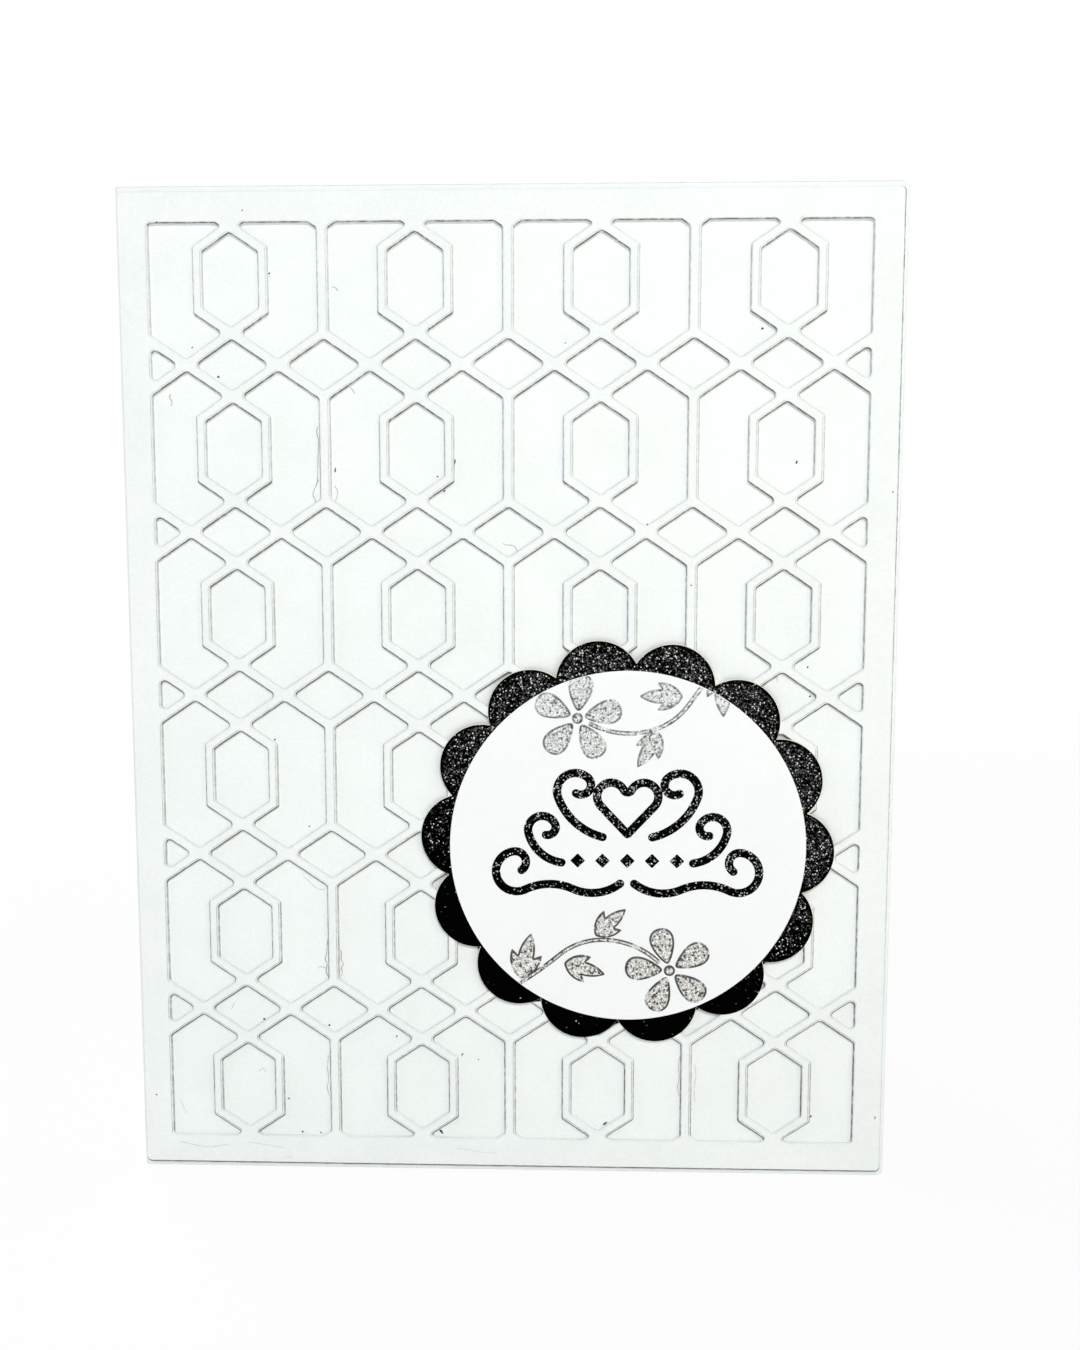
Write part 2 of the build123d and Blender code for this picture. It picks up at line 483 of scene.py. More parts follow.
def ring_faces(count, rings, flip=False):
    """Quads between neighbouring rings of count points each, as rows of four vertex numbers."""
    here = np.arange(count)
    after = (here + 1) % count
    rows = np.arange(rings - 1)[:, None] * count
    quads = np.stack([rows + here, rows + after, rows + count + after, rows + count + here], 2)
    quads = quads.reshape(-1, 4)
    return quads[:, ::-1] if flip else quads


def filled(outlines, height, facing_viewer):
    """Triangles that fill the first outline around the others, and the points they use. Where the
    cross product of two of its sides has the wrong sign, a triangle is turned over."""
    loops = [[(x, z, 0.0) for x, z in loop.tolist()] for loop in outlines]
    triangles = np.array(geometry.tessellate_polygon(loops))
    flat = np.concatenate(outlines)
    start, *ends = flat[triangles.T]
    one, other = (end - start for end in ends)
    area = one[:, 0] * other[:, 1] - one[:, 1] * other[:, 0]
    turned = area < 0 if facing_viewer else area > 0
    triangles[turned] = triangles[turned][:, ::-1]
    return to_scene(flat, height), triangles[np.abs(area) > 1e-9]


def build(name, points, faces, node, material, values, flat_faces=0):
    """Makes the mesh and lets it ride on the card in place of a packed layer. The last flat_faces
    faces are shaded flat and the others smooth."""
    mesh = bpy.data.meshes.new(name)
    rows = [row for part in faces for row in part.tolist()]
    mesh.from_pydata(np.concatenate(points).tolist(), [], rows)
    smooth = np.arange(len(rows)) < len(rows) - flat_faces
    mesh.polygons.foreach_set("use_smooth", smooth)
    for key, numbers in values.items():
        stored = mesh.attributes.new(key, "FLOAT", "POINT")
        stored.data.foreach_set("value", np.concatenate(numbers))
    mesh.materials.append(material)
    piece = put_in_scene(name, mesh)
    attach(piece, "root")
    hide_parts(node)
    triangles = sum(len(row) - 2 for row in rows)
    print(name, len(mesh.vertices), "points", triangles, "triangles")


print("two rings of six points have", len(ring_faces(6, 2)), "faces between them")

# %% [markdown]
# ## Dark lines and painted shade along the cuts
# Where a die went in, the card keeps a fine dark line on the edge and sometimes a second one where
# the pressed rim begins. Shade is painted into these lines: they are darker where the wall faces
# down or to the left, away from the lamps, and darker low on the card. So a line is a value on the
# rim's own vertices, from 0 to about 1, worked out from the direction that the wall faces and from
# its place on the card.

# %% Strength of the lines
# Above EDGE_LEAST these strengths paint shade, by the wall's direction and its height on the card
EDGE_LEAST, EDGE_SIDES, SHADE_FACING_LEFT, SHADE_BELOW = 0.34, 0.27, 0.2, 1.15
KEPT_ABOVE, KEPT_PER_MM = 0.46, 0.004
LOW_FROM, LOW_SPAN, LOW_SHADE = 15, 35, 0.9
BORDER_LEAST, SHADOW_BELOW_PANEL = 0.10, 1.4
BORDER_RIGHT, BORDER_PER_MM, BORDER_LIMITS = 0.6, 0.011, (0.1, 1.3)


def share_of(number, full=1.0):
    """0 for a number below 0, 1 from full on and straight between them."""
    return np.clip(number / full, 0, 1)


def burr_lines_and_shade(outline, facing):
    """How dark two lines are on a wall that faces this way. The line on the edge has a least
    strength; what comes on top of it is painted shade: more on the sides, more where the wall faces
    left and most where it faces down. Where it faces up a part of it is kept, more in the upper
    rows.
    The line further in shows as painted shade on the right, and in the lower rows on walls that
    face down too."""
    right, up = facing[:, 0], facing[:, 1]
    not_up = 1 - share_of(up, 0.8)
    kept = KEPT_ABOVE + KEPT_PER_MM * outline[:, 1]
    edge = EDGE_LEAST + EDGE_SIDES * np.abs(right) + SHADE_FACING_LEFT * share_of(-right)
    edge = edge * (kept + (1 - kept) * not_up) + SHADE_BELOW * share_of(-up, 0.8)
    low = LOW_SHADE * share_of(-LOW_FROM - outline[:, 1], LOW_SPAN)
    return edge, np.maximum(share_of(right, 0.5) * not_up, low * share_of(-up, 0.5))


def border_line_and_shadow(outline, facing):
    """How dark the line on the panel's outer edge is. It is strong along the bottom, where it
    paints the panel's shadow on the leaf, fades on the right edge from the top down, and is nearly
    gone on the left and at the top."""
    on_right = np.clip(BORDER_RIGHT + BORDER_PER_MM * outline[:, 1], *BORDER_LIMITS)
    right, up = facing[:, 0], facing[:, 1]
    return BORDER_LEAST + on_right * share_of(right) + SHADOW_BELOW_PANEL * share_of(-up)


sides = np.array([(1.0, 0.0), (0.0, 1.0), (-1.0, 0.0), (0.0, -1.0)])
print("edge line right, above, left, below:", burr_lines_and_shade(np.zeros((4, 2)), sides)[0].round(2))

# %% [markdown]
# ## Cutting a sheet
# A rim is a short table. Each of its rings says how far in from the wall and how far below the face
# it lies, and how strongly the cut's grain and the two lines show there. One table serves all
# windows.

# %% Die-cut sheets
WAVES = ((5.1, 3.7), (-8.3, 11.9), (23.0, 19.0))
GROWTH_SPAN = 65


def add_marks(marks, points, faces, values, total):
    """Puts small surfaces before the others' last faces. A mark is its points, faces, dirt value
    and value of lines and shade."""
    for corners, rows, dirt, crease in marks:
        points.append(corners)
        faces.insert(0, rows + total)
        total += len(corners)
        for key, number in (("dirt", dirt), ("crease", crease), ("cut", 0.0)):
            values[key].append(np.full(len(corners), number))


def cut_sheet(name, outer, holes, back, front, rims, node, material,
              foot=0.06, marks=(), unevenness=0.0, growth_toward_foot=0.0, painted_border_shade=None):
    """A flat sheet with rounded shoulders. The first rim belongs to the outer edge and the last to
    the holes, and the foot is the inset of the wall's lower end. Unevenness moves the cut to and
    fro as the sum of three sine waves. Drops and lines are multiplied by 1 - the growth toward the
    foot times up / 65, so they grow toward the sheet's foot; in the lines that growth is painted
    shade.
    The function for the outer edge says how strong its line is on each side, with a painted shadow
    along the bottom; without one, it is 1. Marks are small surfaces on the sheet."""
    points, faces, cuts, creases, tops, bottoms = [], [], [], [], [], []
    total = 0
    for number, (outline, outward) in enumerate([outer] + holes):
        is_hole = number > 0
        rim = np.array([(foot, front - back, 1, 0, 0), *rims[-1 if is_hole else 0]])
        inset, drop, cut, on_edge, further_in = rim.T[:, :, None]
        inwards = outward if is_hole else -outward
        foot_growth = 1 - growth_toward_foot * outline[:, 1] / GROWTH_SPAN
        height = front - drop * foot_growth
        height[0] = back
        edge, inner = burr_lines_and_shade(outline, -inwards)
        if not is_hole:
            edge = painted_border_shade(outline, outward) if painted_border_shade else 1.0
        waves = sum(np.sin(outline @ wave) for wave in WAVES)
        fade = np.clip(1 - inset / inset.max(), 0, 1)
        moved = inset + unevenness / len(WAVES) * waves * fade
        rings = outline + inwards * moved[:, :, None]
        points.append(to_scene(rings, height))
        faces.append(ring_faces(len(outline), len(rim), is_hole) + total)
        cuts.append(np.repeat(cut, len(outline)))
        # Line strengths with painted shade, which grows toward the sheet's foot
        creases.append(((on_edge * edge + further_in * inner) * foot_growth).ravel())
        total += height.size
        tops.append(rings[-1])
        bottoms.append(rings[0])
    flat_faces = 0
    for loops, level, facing_viewer in ((tops, front, True), (bottoms, back, False)):
        corners, triangles = filled(loops, level, facing_viewer)
        points.append(corners)
        faces.append(triangles + total)
        total += len(corners)
        flat_faces += len(triangles)
    flat_part = np.zeros(total - sum(len(row) for row in cuts))
    values = {"cut": cuts + [flat_part], "crease": creases + [flat_part], "dirt": [np.zeros(total)]}
    add_marks(marks, points, faces, values, total)
    build(name, points, faces, node, material, values, flat_faces)


print("the cut wanders along", len(WAVES), "waves")

# %% [markdown]
# ## Marks of handwork
# A cut and glued card keeps small traces: dark specks, nicks, a few torn paper fibres beside the
# bars, and two long creases below the lowest windows. A speck is a low dome with an uneven outline;
# a fibre or a crease is a thin raised stroke. The fibres' grey is painted shadow and the creases'
# dark is painted shade. They become part of the sheet that they lie on.

# %% Specks
# Each speck: across, up, length, width and lean in degrees
LEAF_SPECKS = [
    (-10.1, -64.2, 0.8, 0.34, -52), (13.8, -62.6, 0.75, 0.28, 38), (-40.2, 44.3, 0.34, 0.3, 0),
    (39.6, 32.5, 0.55, 0.24, 70), (34.6, 50.5, 0.36, 0.32, 20), (-35.8, -47.5, 0.34, 0.3, 0),
    (-26.3, -48.3, 0.32, 0.28, 0), (43.5, -61.1, 0.36, 0.24, 60), (-30.5, -64.5, 0.3, 0.26, 0),
    (-27.8, -64.6, 0.24, 0.22, 0), (-28.7, -18.9, 0.24, 0.2, 0), (-9.9, 30.6, 0.24, 0.22, 0),
    (-43.75, 48.3, 0.28, 0.18, 40), (-33.4, -6.4, 0.34, 0.2, 30), (41.7, 4.2, 0.3, 0.22, 50),
    (-4.6, -53.2, 0.2, 0.18, 0), (7.8, 48.7, 0.2, 0.16, 0), (19.2, 24, 0.26, 0.2, 0),
    (-24.15, 31.5, 0.7, 0.2, 84), (42.1, 0.1, 0.34, 0.24, 30),
]
PANEL_SPECKS = [
    (-36.2, 66.5, 0.22, 0.2, 0), (-32.7, 58.1, 0.34, 0.2, 30), (-48, 65, 0.34, 0.2, 0),
    (-7.4, 32.6, 0.75, 0.16, 80), (-8.9, 28.6, 0.4, 0.22, 35), (-32.3, -59.2, 0.26, 0.22, 0),
    (-51.8, -58.9, 0.3, 0.2, 20), (25.3, 15.6, 0.24, 0.2, 0), (52.7, 28.4, 0.3, 0.18, 90),
    (52.6, -60.9, 0.5, 0.14, 85), (-16.4, -49.6, 0.3, 0.2, 40), (-6.9, -52.2, 0.5, 0.18, 62),
]
SPECK_DIRT = 0.97
SPECK_SIDES, SPECK_RINGS = 12, 4
SPECK_RISE = 0.25


def turned_by(flat, degrees):
    """Points turned about the origin: across and up are mixed by the turn's cosine and sine."""
    cos, sin = ray(math.radians(degrees))
    return flat @ np.array([[cos, sin], [-sin, cos]])


def full_turn(count):
    """Angles spread evenly over a full turn."""
    return np.linspace(0, 2 * math.pi, count, endpoint=False)


def speck(across, up, length, width, lean, level):
    """A low dome: rings shrink to its middle as a quarter circle rises, and two sines make its
    outline uneven."""
    turn = full_turn(SPECK_SIDES)
    radius = 0.5 * (1 + 0.14 * np.sin(3 * turn + across) + 0.10 * np.sin(5 * turn + up))
    outline = turned_by(radius[:, None] * ray(turn) * [length, width], lean)
    share, rise = ray(np.linspace(0, math.pi / 2, SPECK_RINGS)).T
    flat = share[:, None, None] * outline + [across, up]
    corners = to_scene(flat, level + SPECK_RISE * width * rise[:, None])
    return corners, ring_faces(SPECK_SIDES, SPECK_RINGS), SPECK_DIRT, 0.0


leaf_marks = [speck(*mark, 0.0) for mark in LEAF_SPECKS]
panel_marks = [speck(*mark, PANEL_FRONT) for mark in PANEL_SPECKS]
print(len(leaf_marks), "specks on the leaf and", len(panel_marks), "on the panel")

# %% Fibres and creases
# Each fibre: width, line-and-shade value (painted shadow) and the points that it passes
LEAF_FIBRES = [
    (0.14, 0.9, [(-26.5, 37.5), (-26.7, 36.9), (-26.4, 35.6), (-26.5, 33.7), (-26.6, 31.3),
                 (-26.7, 29.6)]),
    (0.14, 0.9, [(-26.5, 30.2), (-27.1, 28.9), (-27.4, 28), (-26.9, 27.3), (-27.1, 26.6),
                 (-26.8, 25.9), (-26.5, 26.6)]),
    (0.14, 0.8, [(-24.3, 29.4), (-24, 29), (-23.8, 28.3), (-24, 27.6), (-24.3, 27.2)]),
    (0.13, 0.8, [(-24.3, 56.3), (-23.9, 56.4), (-23.6, 56.2), (-23.4, 55.8)]),
    (0.14, 0.9, [(-46.9, 42), (-47.2, 41.5), (-46.7, 41), (-46.9, 40.3)]),
    (0.13, 0.9, [(-22, 42.9), (-21.6, 42.5), (-21.2, 41.9)]),
    (0.13, 0.7, [(-36.7, -55.4), (-36.4, -54.9), (-35.9, -55), (-35.8, -55.5)]),
    (0.13, 0.45, [(-48.6, -59.8), (-48.2, -60.5), (-47.9, -61.2), (-47.6, -62)]),
    (0.13, 0.45, [(-40.1, -45), (-40.3, -45.5), (-40.6, -46.1)]),
    (0.14, 0.7, [(-26.5, -52.8), (-26.7, -54.5), (-26.5, -56.6), (-26.8, -57.6), (-26.5, -59)]),
    (0.14, 0.8, [(-0.9, 21.4), (-0.3, 21.1), (0.5, 21.2), (1, 20.7), (1.3, 20)]),
    (0.14, 1, [(-24.5, -37), (-24.3, -37.8), (-24.5, -38.5), (-24, -39.1), (-24.5, -39.7),
               (-24.2, -40.4), (-24.5, -41)]),
    (0.14, 1, [(-26.3, -35.4), (-26.5, -37.5), (-26.8, -38.5), (-26.4, -39.2), (-26.7, -40.1),
               (-26.3, -41.1)]),
    (0.12, 0.8, [(-27.8, -39.7), (-27.2, -39.5), (-26.7, -39.8)]),
    (0.12, 0.6, [(-29.8, -26.1), (-28.6, -27.2), (-27.8, -28), (-27.2, -28.2), (-26.5, -28.1)]),
    (0.14, 0.9, [(-0.1, 3.9), (0.6, 3.3), (0.9, 2.4), (0.7, 1.5)]),
    (0.13, 0.7, [(24.5, -52.3), (24.3, -54), (24.5, -55.4), (24.2, -57), (24.5, -58.4)]),
    (0.13, 0.5, [(26.7, -53.5), (26.9, -55.2), (26.6, -57.2), (26.8, -59.2)]),
    (0.12, 0.6, [(37.2, 3), (37.6, 2.5), (37.5, 2)]),
]
# The creases' dark colour is painted shade; their columns are the fibres' columns
PANEL_CREASES = [
    (0.13, 0.4, [(-48.6, -66), (-46.2, -66.5), (-44, -66.8), (-42.5, -66.5), (-41.4, -66.3)]),
    (0.13, 0.32, [(-38.4, -65.9), (-36.5, -66.2), (-34.5, -66.5), (-33, -66.8)]),
    (0.11, 0.3, [(-8, -66.4), (-6, -66.6), (-4, -67), (-2, -67.1)]),
    (0.1, 0.35, [(-33, -68.3), (-32.4, -68), (-31.9, -68.3)]),
]
FIBRE_STEP, FIBRE_RISE, SMOOTHING = 0.12, 0.35, 0.35
CREASE_SINK = 0.02


def fibre(width, crease, passing, level):
    """A thin raised stroke through a few points. Between them it follows a smoothed line: the
    average of neighbouring shares of the straight path, which rounds every corner."""
    along = path_length(passing)
    whole = along[-1]
    fine = np.linspace(0, whole, max(int(whole / FIBRE_STEP), 6))
    window = np.linspace(-1, 1, 7) * min(SMOOTHING, whole / 4)
    near = np.clip(fine[:, None] + window[None, :], 0, whole)
    path = np.stack([np.interp(near, along, line).mean(1) for line in np.transpose(passing)], 1)
    step = np.gradient(path, axis=0)
    headings = np.unwrap(np.arctan2(step[:, 1], step[:, 0]))
    corners, rows, _ = raised_stroke(path, headings, width, FIBRE_RISE * width, level, 5)
    return corners, rows, 0.0, crease


leaf_marks += [fibre(*mark, 0.0) for mark in LEAF_FIBRES]
panel_marks += [fibre(*mark, PANEL_FRONT - CREASE_SINK) for mark in PANEL_CREASES]
print(len(leaf_marks), "marks on the leaf and", len(panel_marks), "on the panel")

# %% [markdown]
# ## The folded leaves
# The card itself is one sheet folded round its left side. It is easiest to think of it unfolded: a
# flat grid of points with a distance along the sheet, a height up the card and a depth inside its
# thickness. Rows and columns gather at the fold and at the cut edges, which get a small rounding.
# A bend then rolls the grid round the fold's middle and leaves both leaves straight.

# %% Grid of the unfolded sheet
FOLD_RADIUS = 0.75
SHEET = 0.4
OPENING = math.radians(45.0)
LEAF_CORNER = 0.8
EDGE_ROUNDING, EDGE_DROP = 0.09, 0.06
LEAF_LINES, FOLD_LINES, HEIGHT_LINES = 12, 17, 15
base_low, base_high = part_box("card_base")
LEAF_RUN = (base_high.x - base_low.x) / MM - FOLD_RADIUS
LEAF_HEIGHT = (base_high.z - base_low.z) / MM
FOLD_LENGTH = FOLD_RADIUS * (math.pi - OPENING)
FOLD_MIDDLE = np.array([base_low.x, base_low.y]) / MM + FOLD_RADIUS


def grid_lines(low, high, *between):
    """Places of grid lines: close together just above low and just below high, and those given
    between them."""
    rounding, corner = EDGE_ROUNDING * np.linspace(0, 1, 5), LEAF_CORNER * np.linspace(0.2, 1, 8)
    near = np.concatenate([rounding, corner])
    return np.concatenate([low + near, *between, high - near[::-1]])


on_leaf = np.linspace(0, LEAF_RUN, LEAF_LINES)[1:-1]
on_fold = np.linspace(0, FOLD_LENGTH, FOLD_LINES)
leaves = (-on_leaf[::-1], on_fold, FOLD_LENGTH + on_leaf)
sheet_along = grid_lines(-LEAF_RUN, FOLD_LENGTH + LEAF_RUN, *leaves)
sheet_up = grid_lines(0.0, LEAF_HEIGHT, np.linspace(0, LEAF_HEIGHT, HEIGHT_LINES)[1:-1])
print("the grid has", len(sheet_along), "columns and", len(sheet_up), "rows")

# %% Folded leaves


def bent(along, depth):
    """Rolls the sheet round the fold: the angle is the distance along the fold over its radius, and
    what lies before or after the fold carries on straight along the tangent."""
    on_fold = np.clip(along, 0, FOLD_LENGTH)
    angle = -math.pi / 2 - on_fold / FOLD_RADIUS
    radius = FOLD_RADIUS - depth
    across = FOLD_MIDDLE[0] + radius * np.cos(angle) + (along - on_fold) * np.sin(angle)
    back = FOLD_MIDDLE[1] + radius * np.sin(angle) - (along - on_fold) * np.cos(angle)
    return across, back


def two_faced(rows, columns):
    """Quads of a grid of points, the same quads turned over on a second grid behind it, and the
    wall between both along the rim: bottom, right, top from right to left, left from top down."""
    grid = np.arange(rows * columns).reshape(rows, columns)
    behind = grid.size
    here = grid[:-1, :-1].ravel()
    front = np.stack([here, here + columns, here + columns + 1, here + 1], 1)
    rim = np.concatenate([grid[0, :-1], grid[:-1, -1], grid[-1, :0:-1], grid[:0:-1, 0]])
    after = np.roll(rim, -1)
    wall = np.stack([rim, after, after + behind, rim + behind], 1)
    return [front, front[:, ::-1] + behind, wall]


def folded_leaves(along, up):
    """Towards a corner each row gets shorter by the corner's radius minus the root of what the
    circle leaves. Towards an edge both faces sink by a quarter circle. The cut value is 1 on every
    edge, and the value of lines and shade on the top edge alone, whose line is the darkest."""
    to_edge = np.minimum(up, LEAF_HEIGHT - up)
    gap = np.clip(LEAF_CORNER - to_edge, 0, LEAF_CORNER)
    shorter = LEAF_CORNER - np.sqrt(LEAF_CORNER**2 - gap**2)
    middle = FOLD_LENGTH / 2
    half_length = middle + LEAF_RUN
    share = (along - middle) / half_length
    rows_along = middle + share[None, :] * (half_length - shorter[:, None])
    to_end = (1 - np.abs(share)) * half_length
    edge = share_of(np.minimum(to_end[None, :], to_edge[:, None]), EDGE_ROUNDING)
    sink = EDGE_DROP * (1 - np.sqrt(1 - (1 - edge) ** 2))
    points = []
    for depth in (sink, SHEET - sink):
        across, back = bent(rows_along, depth)
        heights = np.repeat(up[:, None], len(along), 1)
        points.append(np.stack([across, back, heights], 2).reshape(-1, 3) * MM)
    on_top = 1 - share_of(LEAF_HEIGHT - up, EDGE_ROUNDING)
    crease = np.tile(np.repeat(on_top, len(along)), 2)
    return points, np.tile((1 - edge).ravel(), 2), crease


leaf_points, leaf_cut, leaf_crease = folded_leaves(sheet_along, sheet_up)
leaf_faces = two_faced(len(sheet_up), len(sheet_along))
values = {"cut": [leaf_cut], "crease": [leaf_crease], "dirt": [np.zeros(len(leaf_cut))]}
add_marks(leaf_marks, leaf_points, leaf_faces, values, len(leaf_cut))
build("folded_leaves", leaf_points, leaf_faces, "card_base", base_card, values)

# %% [markdown]
# ## The lattice
# The die repeats one cell of 25.4 by 22.9 mm. Strips 1.45 mm wide ring a long hexagon, cross
# between the hexagons and meet upright bars. The openings are what is drawn: a hexagon, a hook on
# each side of it, and a small diamond where four rings meet. The frame cuts the outer ones off.

# %% Window shapes
CELL = np.array([25.4, 22.9])
STRIP = 1.45
BAR = 1.65
DIAGONAL = math.radians(34.0)
RING_HALF_WIDTH = 4.5
slope = math.tan(DIAGONAL)
climb = slope * CELL[0] / 4
crossing = CELL[1] / 2 - climb
half_strip = STRIP / 2 / math.cos(DIAGONAL)
tip = half_strip / slope
inside = RING_HALF_WIDTH - STRIP / 2
outside = RING_HALF_WIDTH + STRIP / 2
hexagon_top = crossing - half_strip
hexagon_side = hexagon_top - slope * inside
peak = (CELL[0] / 4, CELL[1] / 2 - half_strip)
side = (CELL[0] - BAR) / 2
shoulder = peak[1] - slope * (side - peak[0])
ring_side = crossing + half_strip - slope * outside


def with_mirror(*halves):
    """Rows of points, each followed by its mirror image below, in the opposite order."""
    halves = [np.array(half) for half in halves]
    return np.concatenate([row for half in halves for row in (half, half[::-1] * [1, -1])])


hexagon = with_mirror([(0, hexagon_top), (-inside, hexagon_side)], [(inside, -hexagon_side)])
ring_end = [(tip, crossing), (outside, ring_side)]
right_hook = with_mirror(ring_end, [(peak[0], -peak[1]), (side, -shoulder)])
left_hook = (right_hook * [-1, 1])[::-1]
diamond = sides * [peak[0] - tip, climb - half_strip]
print("hexagon", np.ptp(hexagon, axis=0).round(2), "diamond", np.ptp(diamond, axis=0).round(2))

# %% Windows of the panel
COLUMNS, ROWS = 4, 6
FRAME_BORDER = 4.2
WINDOW_CORNER = 0.5
WINDOW_SPACING = 0.8
shapes = []
for row in range(ROWS):
    for column in range(COLUMNS):
        cell = np.array([column - (COLUMNS - 1) / 2, row - (ROWS - 1) / 2])
        shapes += [shape + cell * CELL for shape in (hexagon, right_hook, left_hook)]
for row in range(ROWS - 1):
    for half_column in range(2 * COLUMNS + 1):
        cell = np.array([half_column / 2 - COLUMNS / 2, row - (ROWS - 2) / 2])
        shapes.append(diamond + cell * CELL)
openings = []
for shape in shapes:
    corners = clipped(shape, PANEL_SIZE / 2 - FRAME_BORDER)
    openings.append(spaced(*rounded_outline(corners, WINDOW_CORNER), WINDOW_SPACING))
print(len(openings), "windows with", sum(len(points) for points, _ in openings), "points")

# %% [markdown]
# The cutting die leaves a pressed rim: the face sinks gently for about two fifths of a millimetre
# and then drops down the cut wall, with a fine dark burr along the edge, which painted shade makes
# darker on some sides. On the right sides of the strips, and low on the card on their undersides
# too, a hair-fine second line of painted shade shows where the rim begins. The rim is geometry, so
# it catches the lamp.

# %% Lattice panel
# Each ring of a rim: inset, drop, cut, line on the edge and line further in; both lines carry
# painted shade
PRESSED_RIM = [
    (0, 0.34, 0.7, 0, 0), (0, 0.17, 0.7, 0.8, 0), (0.03, 0.11, 0.55, 1, 0),
    (0.08, 0.06, 0.3, 1, 0), (0.14, 0.024, 0, 0.8, 0), (0.2, 0.007, 0, 0.25, 0),
    (0.31, 0.003, 0, 0, 0), (0.37, 0.03, 0, 0, 0.9), (0.42, 0, 0, 0, 0), (0.46, 0, 0, 0, 0),
]
CUT_RIM = [
    (0, 0.5, 1, 0.3, 0), (0, 0.06, 0.8, 0.9, 0), (0.02, 0.025, 0.5, 1, 0),
    (0.08, 0.008, 0.1, 1, 0), (0.15, 0, 0, 0.5, 0), (0.2, 0, 0, 0, 0),
]
PANEL_CORNER, PANEL_SPACING = 0.7, 1.0
outline = rounded_outline(SQUARE * PANEL_SIZE / 2, PANEL_CORNER, 7)
outline = spaced(*outline, PANEL_SPACING)
cut_sheet("die_cut_lattice", outline, openings, PANEL_BACK, PANEL_FRONT, (CUT_RIM, PRESSED_RIM),
          "lattice_panel", panel_card,
          marks=panel_marks, unevenness=0.035, growth_toward_foot=0.3, painted_border_shade=border_line_and_shadow)

# %% [markdown]
# ## Black glitter card
# Glitter is thousands of tiny mirrors lying at all angles. A Voronoi texture gives every grain its
# own cell. The cell's random colour tilts the surface there and decides whether the grain gets a
# painted highlight, white or grey in its base colour. That is nearly half of the cells towards the
# top, where the lamp is near, and almost none near the bottom, so the sparkle is painted light. The
# cut edge shows the card's cream core.

# %% Glitter finish
GLITTER_BLACK = (0.0003, 0.0003, 0.0003, 1)
GLITTER_GREY = (0.010, 0.010, 0.011, 1)
# White of the painted highlights on the grains
PAINTED_GLINT_WHITE = (1.0, 1.0, 1.0, 1)
CREAM_CORE = (0.86, 0.82, 0.72, 1)
# The painted highlights grow denser along this lean, towards the lamp
LAMP_LEAN = ray(math.radians(70.0))
SPARKLE_FROM, SPARKLE_TO = -15.0, 8.0
PATCH_SIZE = 3.5
GRAIN_DEPTH = 0.02
PAINTED_GLINT_SHARE = 0.985
FAINT_GLOSS = 0.005


def glitter(name, grain, sparse, dense, core=None):
    """Black glitter with grains of about grain millimetres, whose sparkle is painted into the base
    colour. The share of grains with a painted highlight goes from sparse to dense along a line that
    leans towards the lamp, measured from the disc's middle, and falls to a fifth along the rim,
    where the value of lines and shade is 1. A grain's strength is a power of an even lottery, so
    few are strong, and one grain in seventy gets an extra painted highlight."""
    card = Finish(name)
    sockets = {"Vector": card.place(), "Scale": 1 / (grain * MM), "Randomness": 1.0}
    cells = card.node("ShaderNodeTexVoronoi", None, sockets, "Color")
    middle = card.node("ShaderNodeTexVoronoi", None, sockets, "Distance")
    across = card.part_of(card.place(), "X") / MM - DISC_MIDDLE[0]
    up = card.part_of(card.place(), "Z") / MM - (PANEL_UP / MM + DISC_MIDDLE[1])
    lit = (across * LAMP_LEAN[0] + up * LAMP_LEAN[1]).ramp(SPARKLE_FROM, SPARKLE_TO)
    share = lit * (dense - sparse + (card.noise(PATCH_SIZE) - 0.5) * 0.5) + sparse
    share = share * (1 - 0.8 * card.attribute("crease"))
    # Grains with a painted highlight, and a rarer, stronger painted highlight on top
    painted_sparkle = card.part_of(cells, "X") > (1 - share)
    painted_glint = card.part_of(cells, "Z") > PAINTED_GLINT_SHARE
    strength = card.part_of(cells, "Y") ** 3.0 * (1 - middle.ramp(0.35, 0.75)) + 0.6 * painted_glint
    colour = card.blend(painted_sparkle, GLITTER_BLACK, card.blend(strength, GLITTER_GREY, PAINTED_GLINT_WHITE))
    if core is not None:
        colour = card.blend(card.attribute("cut") > 0.5, colour, core)
    card.surface.inputs["Specular IOR Level"].default_value = FAINT_GLOSS
    lean = card.bump(card.part_of(cells, "Z"), GRAIN_DEPTH)
    return card.finish(Base_Color=colour, Roughness=0.5 - 0.15 * painted_sparkle, Normal=lean)


black_glitter_card = glitter("black_glitter_card", 0.195, sparse=0.008, dense=0.47, core=CREAM_CORE)
print(black_glitter_card.name, "has", len(black_glitter_card.node_tree.nodes), "nodes")

# %% Scalloped circle
SCALLOPS = 14
SCALLOP_RADIUS = 6.0
SCALLOP_RING = 23.2
SCALLOP_TURN = -2.6


def scalloped_outline(steps=26):
    """Arcs of one radius round a ring. Neighbouring circles cross halfway between their middles, so
    each arc spans from one crossing to the next, on both sides of its outermost point."""
    across, up = SCALLOP_RING * ray(math.pi / SCALLOPS)
    notch = across + math.sqrt(SCALLOP_RADIUS**2 - up**2)
    across, up = notch * ray(math.pi / SCALLOPS) - [SCALLOP_RING, 0]
    reach = math.atan2(up, across)
    middle = math.radians(SCALLOP_TURN) + full_turn(SCALLOPS)[:, None]
    outward = ray(middle + np.linspace(-reach, reach, steps))
    points = SCALLOP_MIDDLE + SCALLOP_RING * ray(middle) + SCALLOP_RADIUS * outward
    return points.reshape(-1, 2), outward.reshape(-1, 2)


